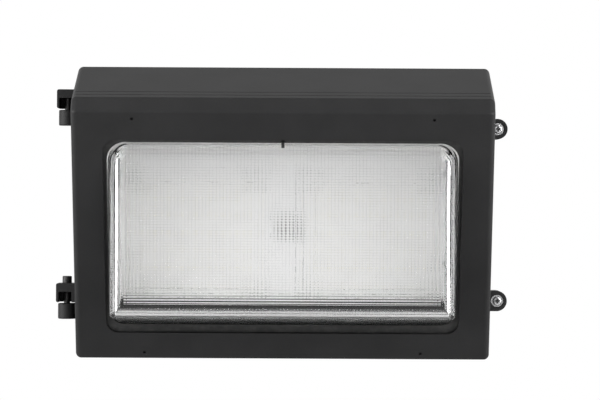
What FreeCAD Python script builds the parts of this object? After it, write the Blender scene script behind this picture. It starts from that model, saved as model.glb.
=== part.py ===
import FreeCAD
import Part
import math
import os

# Wall pack light: a cast back box on the wall and a wedge-shaped cast door with a glass refractor.
# Millimetres. The origin is the centre of the wall pattern on the wall plane, the room is towards -Y,
# +X is to the right for someone who faces the light, and +Z is up.

# Overall sizes
BODY_WIDTH = 329.0
BODY_HEIGHT = 232.0
BOX_DEPTH = 90.0
DOOR_DEPTH = 94.0
SEAM_GAP = 0.6

# Back box
BOX_STEP = 1.0
BOX_DRAFT = 3.5
BOX_WALL = 3.0
BOX_FLOOR = 3.5
BOX_CORNER = 6.0
LEAST_CORNER = 1.5
BOX_BACK_BEVEL = 3.0
RIM_WIDTH = 9.0
RIM_DEPTH = 6.0
WALL_HOLE_RADIUS = 3.5
WALL_PATTERN_WIDTH = 220.0
WALL_PATTERN_HEIGHT = 140.0
ENTRY_RADIUS = 9.15
ENTRY_BOSS = 14.0
ENTRY_LENGTH = 11.0
REAR_ENTRY_RISE = 64.0
SIDE_ENTRY_Y = -34.0

# Door casting: roof, brow, leaning face and chin, as drops and runs of its side profile
ROOF_DROP = 27.1
BROW_DROP = 11.3
BROW_RUN = 8.0
CHIN_DEPTH = 14.0
DOOR_WALL = 3.2
DOOR_DRAFT = 0.8
DOOR_EDGE = 4.4
BROW_EDGE = 2.2
CHIN_EDGE = 2.6
DOOR_RIM_WIDTH = 7.0
DOOR_RIM_DEPTH = 4.0
ROOF_GROOVE = 1.2
ROOF_GROOVE_SETBACKS = (7.5, 16.0)
ACCESSORY_HOLE_RADIUS = 1.2
ACCESSORY_HOLE_DEPTH = 2.0
UPPER_HOLE_HALF_SPACING = 116.6
UPPER_HOLE_DROP = 5.9
LOWER_HOLE_HALF_SPACING = 109.6
LOWER_HOLE_RISE = 5.0

# Window and glass: margins of the face round the window, and of the window round the glass
WINDOW_JAMB = 25.0
WINDOW_HEAD = 23.2
WINDOW_SILL = 22.0
WINDOW_CORNER = 10.0
GLASS = 4.0
GLASS_FLANGE_OVERLAP = 7.5
GLASS_SIDE_GAP = 2.8
GLASS_HEAD_GAP = 3.6
GLASS_SILL_GAP = 6.5
GLASS_TAPER = 2.4
GLASS_BROW_LEAN = 0.5
GLASS_BROW_RISE = 1.0
GLASS_CHIN_LEAN = 26.7
GLASS_CHIN_RISE = 44.0
GLASS_BEND = 6.0
GLASS_BEND_STEPS = 4
GLASS_UPPER_CORNER = 15.0
GLASS_LOWER_CORNER = 12.0
GLASS_CHIN_CORNER = 2.5
GLASS_LEAST_CORNER = 0.8
LENS_SEAL = 2.0
LENS_SEAL_MARGIN = 1.5
LENS_SEAL_WALL_GAP = 0.4

# Glass clips
CLIP_WIDTH = 16.0
CLIP_LENGTH = 13.0
CLIP_SHEET = 1.5
CLIP_BOSS_RADIUS = 4.0
CLIP_BOSS_MARGIN = 5.0
CLIP_SPREAD = 90.0
TONGUE_WIDTH = 2.4
TONGUE_SHEET = 0.4
TONGUE_REACH = 1.8
TONGUE_FOOT = 2.0
TONGUE_HOOK = 4.0

# Hinges and ears, all centred on the seam plane
HINGE_REACH = 8.0
PIN_RADIUS = 2.5
PIN_RUNNING_FIT = 0.1
PRESS_FIT = 0.03
KNUCKLE_RADIUS = 7.2
KNUCKLE_LENGTH = 12.5
KNUCKLE_ROUND = 1.0
BRACKET_RADIUS = 8.0
BRACKET_FRONT = 12.0
BRACKET_LENGTH = 15.2
BRACKET_PLATE = 6.8
BRACKET_LIP = 1.8
UPPER_PIN_COVER = 2.3
BRACKET_ROUND = 1.6
HINGE_GAP = 1.0
UPPER_HINGE_DROP = 34.2
LOWER_HINGE_RISE = 43.4
PIN_HEAD_RADIUS = 3.75
PIN_HEAD_HEIGHT = 5.4
PIN_HEAD_ROUND = 0.8
EAR_REACH = 6.3
EAR_SET_IN = 0.5
EAR_RADIUS = 8.1
EAR_DEPTH = 12.0
UPPER_EAR_DROP = 48.4
LOWER_EAR_RISE = 46.7
DOOR_SCREW_RADIUS = 2.0
DOOR_SCREW_HEAD_RADIUS = 3.6
DOOR_SCREW_HEAD_HEIGHT = 2.8
DOOR_SCREW_BITE = 8.0
DOOR_SCREW_CLEARANCE = 0.3
COUNTERBORE_RADIUS = 5.3
COUNTERBORE_DEPTH = 4.0
WASHER_RADIUS = 4.8
WASHER_SHEET = 0.8

# Seal in the rim of the back box
SEAL_INSET = 2.0
SEAL_WIDTH = 4.0
SEAL_GROOVE = 3.4

# Light engine
PLATE_SHEET = 3.0
PLATE_FRONT_SETBACK = 14.0
PLATE_SIDE_MARGIN = 14.5
PLATE_END_MARGIN = 15.0
PLATE_CORNER = 8.0
POST_RADIUS = 5.5
POST_INSET = 8.0
BOARD_SHEET = 1.6
BOARD_WIDTH = 108.0
BOARD_HEIGHT = 96.0
BOARD_GAP = 32.0
BOARD_Z = -18.0
BOARD_SCREW_INSET = 5.0
CHIP_SIZE = 3.0
CHIP_HEIGHT = 0.8
CHIP_COLUMNS = 9
CHIP_ROWS = 6
CHIP_PITCH_X = 11.0
CHIP_PITCH_Z = 14.0
CONNECTOR_X = 4.6
CONNECTOR_Z = -12.0
CONNECTOR_WIDTH = 7.0
CONNECTOR_HEIGHT = 11.0
CONNECTOR_DEPTH = 6.0
CONNECTOR_ROUND = 0.8
GROMMET_FLANGE = 1.2
GROMMET_SLEEVE_RADIUS = 3.6
GROMMET_FLANGE_RADIUS = 4.8
REFLECTOR_SHEET = 1.0
REFLECTOR_BACK_SIDE_MARGIN = 32.5
REFLECTOR_FRONT_SIDE_MARGIN = 31.5
REFLECTOR_BACK_SILL = 46.0
REFLECTOR_BACK_HEAD = 54.0
REFLECTOR_FRONT_SILL = 44.0
REFLECTOR_FRONT_HEAD = 46.0
REFLECTOR_CORNER = 8.0
REFLECTOR_BEHIND_FACE = 20.0
REFLECTOR_SCREW_INSET = 5.0
REFLECTOR_SCREW_SPREAD = 36.0
BOARD_CLEARANCE = 0.3

# Driver and wiring
DRIVER_LENGTH = 170.0
DRIVER_HEIGHT = 62.0
DRIVER_DEPTH = 36.0
DRIVER_SHEET = 1.2
DRIVER_DROP = 58.0
DRIVER_TAB = 12.0
DRIVER_BOSS_HEIGHT = 5.0
DRIVER_BOSS_RADIUS = 5.0
LEAD_RADIUS = 1.3
LEAD_PITCH = 9.0
LEAD_PLANE = 22.0
BEND_SHARE = 0.45
INPUT_SWEEP = 22.5
INPUT_END_X = -45.0
OUTPUT_SWEEP = 31.5
OUTPUT_LEAD_RADIUS = 2.2
NUT_RADIUS = 4.0
NUT_TIP_RADIUS = 2.6
NUT_LENGTH = 18.0
NUT_BITE = 6.0
GROUND_SCREW_X = 70.0
GROUND_SCREW_RISE = 38.0
GROUND_BOSS_RADIUS = 6.0
GROUND_BOSS_HEIGHT = 6.0

# Fasteners and plugs; a head's rounding, recess floor and recess reach are shares of the head
M4_RADIUS = 2.0
M4_HEAD_RADIUS = 3.6
M4_HEAD_HEIGHT = 2.4
M4_BITE = 4.0
M3_RADIUS = 1.5
M3_HEAD_RADIUS = 2.8
M3_HEAD_HEIGHT = 1.8
M3_BITE = 2.4
THREAD_FIT = 0.05
HOLE_FIT = 0.3
HEAD_ROUND = 0.45
CROSS_WIDTH = 1.2
CROSS_FLOOR = 0.25
CROSS_REACH = 0.6
PLUG_HEAD_RADIUS = 12.5
PLUG_HEAD_HEIGHT = 3.0
PLUG_DRIVE = 6.4
PLUG_DRIVE_DEPTH = 2.2
PLUG_FIT = 0.05
SPOT_FACE = 0.8
O_RING = 1.2
O_RING_RADIUS = 10.6

# Places that several pieces share
V = FreeCAD.Vector
SEAM_Y = -BOX_DEPTH
BOX_FRONT = SEAM_Y + SEAM_GAP / 2
DOOR_BACK = SEAM_Y - SEAM_GAP / 2
HALF_WIDTH = BODY_WIDTH / 2
TOP_Z = BODY_HEIGHT / 2
BOTTOM_Z = -BODY_HEIGHT / 2
FOLD_Y = SEAM_Y - DOOR_DEPTH
BROW_Z = TOP_Z - ROOF_DROP
FOLD_Z = BROW_Z - BROW_DROP
CHIN_Y = SEAM_Y - CHIN_DEPTH
FACE_LEAN = math.degrees(math.atan2(CHIN_Y - FOLD_Y, FOLD_Z - BOTTOM_Z))
FACE_LENGTH = math.hypot(CHIN_Y - FOLD_Y, FOLD_Z - BOTTOM_Z)
WINDOW_HALF_WIDTH = HALF_WIDTH - WINDOW_JAMB
WINDOW_TOP = WINDOW_HEAD
WINDOW_BOTTOM = FACE_LENGTH - WINDOW_SILL
GLASS_BASE_HALF_WIDTH = WINDOW_HALF_WIDTH - GLASS_SIDE_GAP
GLASS_FRONT_HALF_WIDTH = GLASS_BASE_HALF_WIDTH - GLASS_TAPER
GLASS_TOP = WINDOW_TOP + GLASS_HEAD_GAP
GLASS_BOTTOM = WINDOW_BOTTOM - GLASS_SILL_GAP
TONGUE_LOW = -(WINDOW_TOP + GLASS_TOP + TONGUE_SHEET) / 2
HINGE_X = -HALF_WIDTH - HINGE_REACH
UPPER_HINGE_Z = TOP_Z - UPPER_HINGE_DROP
LOWER_HINGE_Z = BOTTOM_Z + LOWER_HINGE_RISE
EAR_X = HALF_WIDTH + EAR_REACH
EAR_BODY_X = EAR_X - EAR_SET_IN
UPPER_EAR_Z = TOP_Z - UPPER_EAR_DROP
LOWER_EAR_Z = BOTTOM_Z + LOWER_EAR_RISE
PLATE_HALF_WIDTH = HALF_WIDTH - PLATE_SIDE_MARGIN
PLATE_HALF_HEIGHT = TOP_Z - PLATE_END_MARGIN
POST_X = PLATE_HALF_WIDTH - POST_INSET
POST_Z = PLATE_HALF_HEIGHT - POST_INSET
REFLECTOR_BACK_HALF_WIDTH = HALF_WIDTH - REFLECTOR_BACK_SIDE_MARGIN
REFLECTOR_FRONT_HALF_WIDTH = HALF_WIDTH - REFLECTOR_FRONT_SIDE_MARGIN
REFLECTOR_BACK_BOTTOM = BOTTOM_Z + REFLECTOR_BACK_SILL
REFLECTOR_BACK_TOP = TOP_Z - REFLECTOR_BACK_HEAD
REFLECTOR_FRONT_BOTTOM = BOTTOM_Z + REFLECTOR_FRONT_SILL
REFLECTOR_FRONT_TOP = TOP_Z - REFLECTOR_FRONT_HEAD
REFLECTOR_SCREW_X = REFLECTOR_BACK_HALF_WIDTH - REFLECTOR_SCREW_INSET
DRIVER_Z = TOP_Z - DRIVER_DROP
REAR_ENTRY_Z = BOTTOM_Z + REAR_ENTRY_RISE
GROUND_SCREW_Z = BOTTOM_Z + GROUND_SCREW_RISE
PLATE_FRONT = SEAM_Y + PLATE_FRONT_SETBACK
PLATE_BACK = PLATE_FRONT + PLATE_SHEET
GLASS_SEAT = -DOOR_WALL - LENS_SEAL
GLASS_BACK = GLASS_SEAT - GLASS
FLANGE_HALF_WIDTH = WINDOW_HALF_WIDTH + GLASS_FLANGE_OVERLAP
FLANGE_TOP = WINDOW_TOP - GLASS_FLANGE_OVERLAP
FLANGE_BOTTOM = WINDOW_BOTTOM + GLASS_FLANGE_OVERLAP
EXTRA = 1.0

# Local axes of the leaning face: x across, y up the face from the fold, z straight out of it
FACE = FreeCAD.Placement(V(0, FOLD_Y, FOLD_Z), FreeCAD.Rotation(V(1, 0, 0), 90 + FACE_LEAN))
X_AXIS = V(1, 0, 0)
OUTWARD = V(0, -1, 0)


def export(name, shape):
    shape.exportStep(os.path.join("parts", name + ".step"))


def block(x0, x1, y0, y1, z0, z1):
    return Part.makeBox(x1 - x0, y1 - y0, z1 - z0, V(x0, y0, z0))


def rod(radius, start, end):
    way = end - start
    return Part.makeCylinder(radius, way.Length, start, way)


def facing(y):
    """Drawing plane at depth y: x across, y up, z out towards the room."""
    return FreeCAD.Placement(V(0, y, 0), FreeCAD.Rotation(X_AXIS, 90))


def outline(x0, x1, y0, y1, low_corner, high_corner, plane):
    """Closed rectangle with rounded corners, drawn on a plane."""
    corners = (
        (x1 - low_corner, y0 + low_corner, low_corner, 270),
        (x1 - high_corner, y1 - high_corner, high_corner, 0),
        (x0 + high_corner, y1 - high_corner, high_corner, 90),
        (x0 + low_corner, y0 + low_corner, low_corner, 180),
    )
    arcs = []
    for x, y, radius, start in corners:
        circle = Part.Circle(V(x, y, 0), V(0, 0, 1), radius)
        arcs.append(Part.ArcOfCircle(circle, math.radians(start), math.radians(start + 90)))
    edges = []
    for arc, following in zip(arcs, arcs[1:] + arcs[:1]):
        edges.append(arc.toShape())
        edges.append(Part.LineSegment(arc.EndPoint, following.StartPoint).toShape())
    wire = Part.Wire(edges)
    wire.Placement = plane
    return wire


def prism(wire, plane, height):
    """Solid of a drawn outline pulled along its plane's normal."""
    return Part.Face(wire).extrude(plane.Rotation.multVec(V(0, 0, height)))


def loft(wires):
    return Part.makeLoft(wires, True, True)


def inset_profile(points, insets):
    """Convex profile, listed anticlockwise, with each edge moved in by its own distance."""
    lines = []
    for (x0, y0), (x1, y1), inset in zip(points, points[1:] + points[:1], insets):
        length = math.hypot(x1 - x0, y1 - y0)
        across = ((y0 - y1) / length, (x1 - x0) / length)
        lines.append((across, across[0] * x0 + across[1] * y0 + inset))
    moved = []
    for (first, first_reach), (second, second_reach) in zip(lines[-1:] + lines[:-1], lines):
        turn = first[0] * second[1] - first[1] * second[0]
        x = (first_reach * second[1] - second_reach * first[1]) / turn
        y = (first[0] * second_reach - second[0] * first_reach) / turn
        moved.append((x, y))
    return moved


def pan_screw(radius, length, head_radius, head_height, seat, way):
    """Cross-head screw: seat is the point under its head, way points out of the head."""
    head = Part.makeCylinder(head_radius, head_height)
    crown = [edge for edge in rims(head) if edge.CenterOfMass.z > 0]
    head = head.makeFillet(head_height * HEAD_ROUND, crown)
    shank = Part.makeCylinder(radius, length, V(0, 0, -length))
    half = CROSS_WIDTH / 2
    floor = head_height * CROSS_FLOOR
    cross = block(-head_radius, head_radius, -half, half, floor, head_height)
    cross = cross.fuse(block(-half, half, -head_radius, head_radius, floor, head_height))
    cross = cross.common(Part.makeCone(half, head_radius * CROSS_REACH, head_height - floor, V(0, 0, floor)))
    screw = head.fuse(shank).cut(cross)
    screw.Placement = FreeCAD.Placement(seat, FreeCAD.Rotation(V(0, 0, 1), way))
    return screw


def on_face(x, drop, rise):
    """Point on the leaning face: across, down from the fold, and out of the face."""
    return FACE.multVec(V(x, -drop, rise))


FACE_OUT = FACE.Rotation.multVec(V(0, 0, 1))


# ---- Back box -------------------------------------------------------------------------------------

def box_outline(y, inset):
    """Outline of the box at depth y: it draws in towards the wall."""
    draft = BOX_DRAFT * (y - BOX_FRONT) / -BOX_FRONT
    half_width = HALF_WIDTH - BOX_STEP - draft - inset
    half_height = TOP_Z - BOX_STEP - draft - inset
    corner = max(BOX_CORNER - inset, LEAST_CORNER)
    return outline(-half_width, half_width, -half_height, half_height, corner, corner, facing(y))


def box_shell():
    shell = loft([box_outline(0, BOX_BACK_BEVEL), box_outline(-BOX_BACK_BEVEL, 0), box_outline(BOX_FRONT, 0)])
    behind_rim = BOX_FRONT + RIM_DEPTH
    room = loft([box_outline(-BOX_FLOOR, BOX_WALL), box_outline(behind_rim, BOX_WALL)])
    mouth = loft([box_outline(behind_rim + EXTRA, RIM_WIDTH), box_outline(BOX_FRONT - EXTRA, RIM_WIDTH)])
    return shell.cut(room).cut(mouth)


def seal_ring(y_back, height, slack):
    outer = box_outline(BOX_FRONT, SEAL_INSET + slack)
    inner = box_outline(BOX_FRONT, SEAL_INSET + SEAL_WIDTH - slack)
    lift = V(0, y_back - BOX_FRONT, 0)
    ring = prism(outer, facing(0), height).cut(prism(inner, facing(0), height))
    return ring.translated(lift)


def rims(solid):
    """Round edges of a cylinder's two ends."""
    return [edge for edge in solid.Edges if isinstance(edge.Curve, Part.Circle)]


def knuckle(gap_z):
    """Housing's half of a hinge: a barrel below the gap, with a web to the side wall."""
    low = gap_z - HINGE_GAP / 2 - KNUCKLE_LENGTH
    high = gap_z - HINGE_GAP / 2
    barrel = Part.makeCylinder(KNUCKLE_RADIUS, high - low, V(HINGE_X, SEAM_Y, low))
    barrel = barrel.makeFillet(KNUCKLE_ROUND, rims(barrel))
    web = block(HINGE_X, -HALF_WIDTH + BOX_STEP + BOX_WALL / 2, BOX_FRONT, SEAM_Y + KNUCKLE_RADIUS, low, high)
    return barrel.fuse(web)


def box_ear(z):
    back = BOX_FRONT + EAR_DEPTH
    ear = rod(EAR_RADIUS, V(EAR_BODY_X, back, z), V(EAR_BODY_X, BOX_FRONT, z))
    inner = HALF_WIDTH - BOX_STEP - BOX_WALL / 2
    return ear.fuse(block(inner, EAR_BODY_X, BOX_FRONT, back, z - EAR_RADIUS, z + EAR_RADIUS))


def entry(start, way):
    """A tapped conduit entry: the boss inside the wall, and the hole through both."""
    boss = rod(ENTRY_BOSS, start + way * (BOX_WALL / 2), start + way * ENTRY_LENGTH)
    hole = rod(ENTRY_RADIUS, start - way * (BOX_DRAFT + EXTRA), start + way * (ENTRY_LENGTH + EXTRA))
    return boss, hole


def entries():
    """Flat seat in the outer wall, and the way in, of each plugged conduit entry."""
    inset = BOX_STEP + BOX_DRAFT * (SIDE_ENTRY_Y - BOX_FRONT) / -BOX_FRONT + SPOT_FACE
    return {
        "left": (V(-HALF_WIDTH + inset, SIDE_ENTRY_Y, 0), V(1, 0, 0)),
        "right": (V(HALF_WIDTH - inset, SIDE_ENTRY_Y, 0), V(-1, 0, 0)),
        "bottom": (V(0, SIDE_ENTRY_Y, BOTTOM_Z + inset), V(0, 0, 1)),
    }


def post_places():
    return [V(x, 0, z) for x in (-POST_X, POST_X) for z in (-POST_Z, POST_Z)]


def driver_screw_places():
    reach = DRIVER_LENGTH / 2 + DRIVER_TAB / 2
    return [V(x, 0, DRIVER_Z) for x in (-reach, reach)]


def back_box():
    body = box_shell()
    floor_in = V(0, -BOX_FLOOR / 2, 0)
    for place in post_places():
        body = body.fuse(rod(POST_RADIUS, place + floor_in, place + V(0, PLATE_BACK, 0)))
    for place in driver_screw_places():
        top = V(0, -BOX_FLOOR - DRIVER_BOSS_HEIGHT, 0)
        body = body.fuse(rod(DRIVER_BOSS_RADIUS, place + floor_in, place + top))
    ground = V(GROUND_SCREW_X, 0, GROUND_SCREW_Z)
    ground_top = ground + V(0, -BOX_FLOOR - GROUND_BOSS_HEIGHT, 0)
    body = body.fuse(rod(GROUND_BOSS_RADIUS, ground + floor_in, ground_top))
    holes = []
    rear = V(0, 0, REAR_ENTRY_Z)
    for start, way in list(entries().values()) + [(rear, OUTWARD)]:
        boss, hole = entry(start, way)
        body = body.fuse(boss)
        holes.append(hole)
    for start, way in entries().values():
        holes.append(rod(PLUG_HEAD_RADIUS + HOLE_FIT, start, start - way * (BOX_DRAFT + EXTRA)))
    for gap_z in (UPPER_HINGE_Z, LOWER_HINGE_Z):
        body = body.fuse(knuckle(gap_z))
        low = gap_z - HINGE_GAP / 2 - KNUCKLE_LENGTH
        holes.append(rod(PIN_RADIUS + PRESS_FIT, V(HINGE_X, SEAM_Y, low - EXTRA), V(HINGE_X, SEAM_Y, gap_z)))
    for z in (UPPER_EAR_Z, LOWER_EAR_Z):
        body = body.fuse(box_ear(z))
        ear_hole = V(EAR_X, BOX_FRONT - EXTRA, z)
        bite = V(0, EXTRA + DOOR_SCREW_BITE + HOLE_FIT, 0)
        holes.append(rod(DOOR_SCREW_RADIUS + DOOR_SCREW_CLEARANCE, ear_hole, ear_hole + bite))
    for x in (-WALL_PATTERN_WIDTH / 2, WALL_PATTERN_WIDTH / 2):
        for z in (-WALL_PATTERN_HEIGHT / 2, WALL_PATTERN_HEIGHT / 2):
            holes.append(rod(WALL_HOLE_RADIUS, V(x, EXTRA, z), V(x, -BOX_FLOOR - EXTRA, z)))
    for place in post_places():
        holes.append(tapped(place + V(0, PLATE_BACK, 0), M4_RADIUS, M4_BITE))
    for place in driver_screw_places():
        top = place + V(0, -BOX_FLOOR - DRIVER_BOSS_HEIGHT, 0)
        holes.append(tapped(top, M4_RADIUS, M4_BITE))
    holes.append(tapped(ground_top, M4_RADIUS, M4_BITE))
    groove = seal_ring(BOX_FRONT + SEAL_GROOVE, SEAL_GROOVE + EXTRA, 0)
    return body.cut(holes).cut(groove)


def tapped(mouth, radius, bite):
    """Cutter for a blind tapped hole that opens towards the room."""
    return rod(radius + THREAD_FIT, mouth - V(0, EXTRA, 0), mouth + V(0, bite + HOLE_FIT, 0))


def door_seal():
    return seal_ring(BOX_FRONT + SEAL_GROOVE, SEAL_GROOVE + SEAM_GAP / 2, PRESS_FIT)


# ---- Hinge pins and conduit plugs -----------------------------------------------------------------

def hinge_pin(gap_z, headed):
    low = gap_z - HINGE_GAP / 2 - KNUCKLE_LENGTH
    bracket_top = gap_z + HINGE_GAP / 2 + BRACKET_LENGTH
    reach = bracket_top if headed else bracket_top - UPPER_PIN_COVER
    pin = rod(PIN_RADIUS, V(HINGE_X, SEAM_Y, low), V(HINGE_X, SEAM_Y, reach))
    if headed:
        seat = V(HINGE_X, SEAM_Y, bracket_top + PIN_RUNNING_FIT)
        pin = pin.fuse(rod(PIN_RADIUS, V(HINGE_X, SEAM_Y, reach), seat))
        head = rod(PIN_HEAD_RADIUS, seat, seat + V(0, 0, PIN_HEAD_HEIGHT))
        top = [edge for edge in rims(head) if edge.CenterOfMass.z > seat.z + EXTRA]
        pin = pin.fuse(head.makeFillet(PIN_HEAD_ROUND, top))
    return pin.removeSplitter()


def conduit_plug(start, way):
    seat = start - way * PLUG_FIT
    head = rod(PLUG_HEAD_RADIUS, seat - way * PLUG_HEAD_HEIGHT, seat)
    shank = rod(ENTRY_RADIUS - PLUG_FIT, seat, start + way * (ENTRY_LENGTH - EXTRA))
    groove = rod(O_RING_RADIUS + O_RING, seat, seat - way * O_RING)
    groove = groove.cut(rod(O_RING_RADIUS - O_RING, seat + way * EXTRA, seat - way * (O_RING + EXTRA)))
    half = PLUG_DRIVE / 2
    drive = block(-half, half, -half, half, -EXTRA, PLUG_DRIVE_DEPTH)
    drive.Placement = FreeCAD.Placement(seat - way * PLUG_HEAD_HEIGHT, FreeCAD.Rotation(V(0, 0, 1), way))
    return head.fuse(shank).cut(groove).cut(drive)


def o_ring(start, way):
    centre = start - way * (O_RING / 2 + PLUG_FIT)
    return Part.makeTorus(O_RING_RADIUS, O_RING / 2 - PLUG_FIT, centre, way)


# ---- Light engine ---------------------------------------------------------------------------------

def board_span(side):
    near = side * BOARD_GAP / 2
    far = near + side * BOARD_WIDTH
    return min(near, far), max(near, far)


def board_screw_places(side):
    x0, x1 = board_span(side)
    edge = BOARD_SCREW_INSET
    z = BOARD_HEIGHT / 2 - edge
    return [V(x, PLATE_FRONT, BOARD_Z + dz) for x in (x0 + edge, x1 - edge) for dz in (-z, z)]


def reflector_screw_places():
    middle = (REFLECTOR_BACK_BOTTOM + REFLECTOR_BACK_TOP) / 2
    places = []
    for x in (-REFLECTOR_SCREW_X, REFLECTOR_SCREW_X):
        for z in (middle - REFLECTOR_SCREW_SPREAD, middle + REFLECTOR_SCREW_SPREAD):
            places.append(V(x, PLATE_FRONT, z))
    return places


def heat_plate():
    plane = facing(PLATE_BACK)
    wire = outline(
        -PLATE_HALF_WIDTH, PLATE_HALF_WIDTH, -PLATE_HALF_HEIGHT, PLATE_HALF_HEIGHT,
        PLATE_CORNER, PLATE_CORNER, plane,
    )
    plate = prism(wire, plane, PLATE_SHEET)
    cuts = []
    through = V(0, PLATE_SHEET + EXTRA, 0)
    for place in post_places():
        mouth = place + V(0, PLATE_FRONT - EXTRA, 0)
        cuts.append(rod(M4_RADIUS + HOLE_FIT, mouth, mouth + through + V(0, EXTRA, 0)))
    for place in board_screw_places(-1) + board_screw_places(1) + reflector_screw_places():
        cuts.append(rod(M3_RADIUS + THREAD_FIT, place - V(0, EXTRA, 0), place + through))
    lead = V(CONNECTOR_X, PLATE_FRONT, CONNECTOR_Z)
    cuts.append(rod(GROMMET_SLEEVE_RADIUS + THREAD_FIT, lead - V(0, EXTRA, 0), lead + through))
    return plate.cut(cuts)


def led_board(side):
    x0, x1 = board_span(side)
    z0 = BOARD_Z - BOARD_HEIGHT / 2
    board = block(x0, x1, PLATE_FRONT - BOARD_SHEET, PLATE_FRONT, z0, z0 + BOARD_HEIGHT)
    over = V(0, BOARD_SHEET + EXTRA, 0)
    cuts = [rod(M3_RADIUS + HOLE_FIT, p - over, p + over) for p in board_screw_places(side)]
    return board.cut(cuts)


def led_chips():
    chips = []
    front = PLATE_FRONT - BOARD_SHEET
    for side in (-1, 1):
        middle = sum(board_span(side)) / 2
        for column in range(CHIP_COLUMNS):
            x = middle + (column - (CHIP_COLUMNS - 1) / 2) * CHIP_PITCH_X
            for row in range(CHIP_ROWS):
                z = BOARD_Z + (row - (CHIP_ROWS - 1) / 2) * CHIP_PITCH_Z
                half = CHIP_SIZE / 2
                chips.append(block(x - half, x + half, front - CHIP_HEIGHT, front, z - half, z + half))
    return Part.makeCompound(chips)


def m3_screws(places, sheet):
    """Short screws through a sheet into the heat plate."""
    seats = [place - V(0, sheet, 0) for place in places]
    length = sheet + M3_BITE
    return Part.makeCompound([
        pan_screw(M3_RADIUS, length, M3_HEAD_RADIUS, M3_HEAD_HEIGHT, seat, OUTWARD) for seat in seats
    ])


def heat_plate_screws():
    seats = [place + V(0, PLATE_FRONT, 0) for place in post_places()]
    length = PLATE_SHEET + M4_BITE
    return Part.makeCompound([
        pan_screw(M4_RADIUS, length, M4_HEAD_RADIUS, M4_HEAD_HEIGHT, seat, OUTWARD) for seat in seats
    ])


def led_connector():
    half_width = CONNECTOR_WIDTH / 2
    half_height = CONNECTOR_HEIGHT / 2
    back = PLATE_FRONT - GROMMET_FLANGE
    body = block(
        CONNECTOR_X - half_width, CONNECTOR_X + half_width, back - CONNECTOR_DEPTH, back,
        CONNECTOR_Z - half_height, CONNECTOR_Z + half_height,
    )
    edges = [edge for edge in body.Edges if edge.BoundBox.YLength > 1 or edge.CenterOfMass.y < back - 1]
    body = body.makeFillet(CONNECTOR_ROUND, edges)
    centre = V(CONNECTOR_X, back, CONNECTOR_Z)
    tip = centre - V(0, CONNECTOR_DEPTH / 2, 0)
    return body.cut(rod(OUTPUT_LEAD_RADIUS + THREAD_FIT, centre + V(0, EXTRA, 0), tip))


def lead_grommet():
    centre = V(CONNECTOR_X, PLATE_FRONT, CONNECTOR_Z)
    through = V(0, PLATE_SHEET, 0)
    front = rod(GROMMET_FLANGE_RADIUS, centre - V(0, GROMMET_FLANGE, 0), centre)
    back = rod(GROMMET_FLANGE_RADIUS, centre + through, centre + through + V(0, GROMMET_FLANGE, 0))
    body = front.fuse(back).fuse(rod(GROMMET_SLEEVE_RADIUS, centre, centre + through))
    over = V(0, PLATE_SHEET + GROMMET_FLANGE + EXTRA, 0)
    bore = rod(OUTPUT_LEAD_RADIUS + THREAD_FIT, centre - over, centre + over)
    return body.cut(bore).removeSplitter()


def reflector_form(inset):
    """Funnel from the heat plate towards the glass, moved in by the sheet for its inside."""
    front_y = FOLD_Y
    corner = max(REFLECTOR_CORNER - inset, LEAST_CORNER)
    wires = []
    for y, half_width, low, high in (
        (PLATE_FRONT - inset, REFLECTOR_BACK_HALF_WIDTH, REFLECTOR_BACK_BOTTOM, REFLECTOR_BACK_TOP),
        (front_y, REFLECTOR_FRONT_HALF_WIDTH, REFLECTOR_FRONT_BOTTOM, REFLECTOR_FRONT_TOP),
    ):
        half = half_width - inset
        wires.append(outline(-half, half, low + inset, high - inset, corner, corner, facing(y)))
    return loft(wires)


def reflector():
    shell = reflector_form(0).cut(reflector_form(REFLECTOR_SHEET))
    reach = BODY_WIDTH
    keep = block(-reach, reach, -reach, reach, -reach - REFLECTOR_BEHIND_FACE, -REFLECTOR_BEHIND_FACE)
    keep.Placement = FACE
    shell = shell.common(keep)
    cuts = []
    for side in (-1, 1):
        x0, x1 = board_span(side)
        z = BOARD_HEIGHT / 2 + BOARD_CLEARANCE
        front = PLATE_FRONT - REFLECTOR_SHEET - EXTRA
        slack = BOARD_CLEARANCE
        cuts.append(block(x0 - slack, x1 + slack, front, PLATE_FRONT + EXTRA, BOARD_Z - z, BOARD_Z + z))
    lead = V(CONNECTOR_X, PLATE_FRONT, CONNECTOR_Z)
    over = V(0, REFLECTOR_SHEET + EXTRA, 0)
    cuts.append(rod(GROMMET_FLANGE_RADIUS + HOLE_FIT, lead - over, lead + over))
    for place in reflector_screw_places():
        cuts.append(rod(M3_RADIUS + HOLE_FIT, place - over, place + over))
    return shell.cut(cuts)


# ---- Driver and wiring ----------------------------------------------------------------------------

DRIVER_BACK = -BOX_FLOOR - DRIVER_BOSS_HEIGHT


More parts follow.
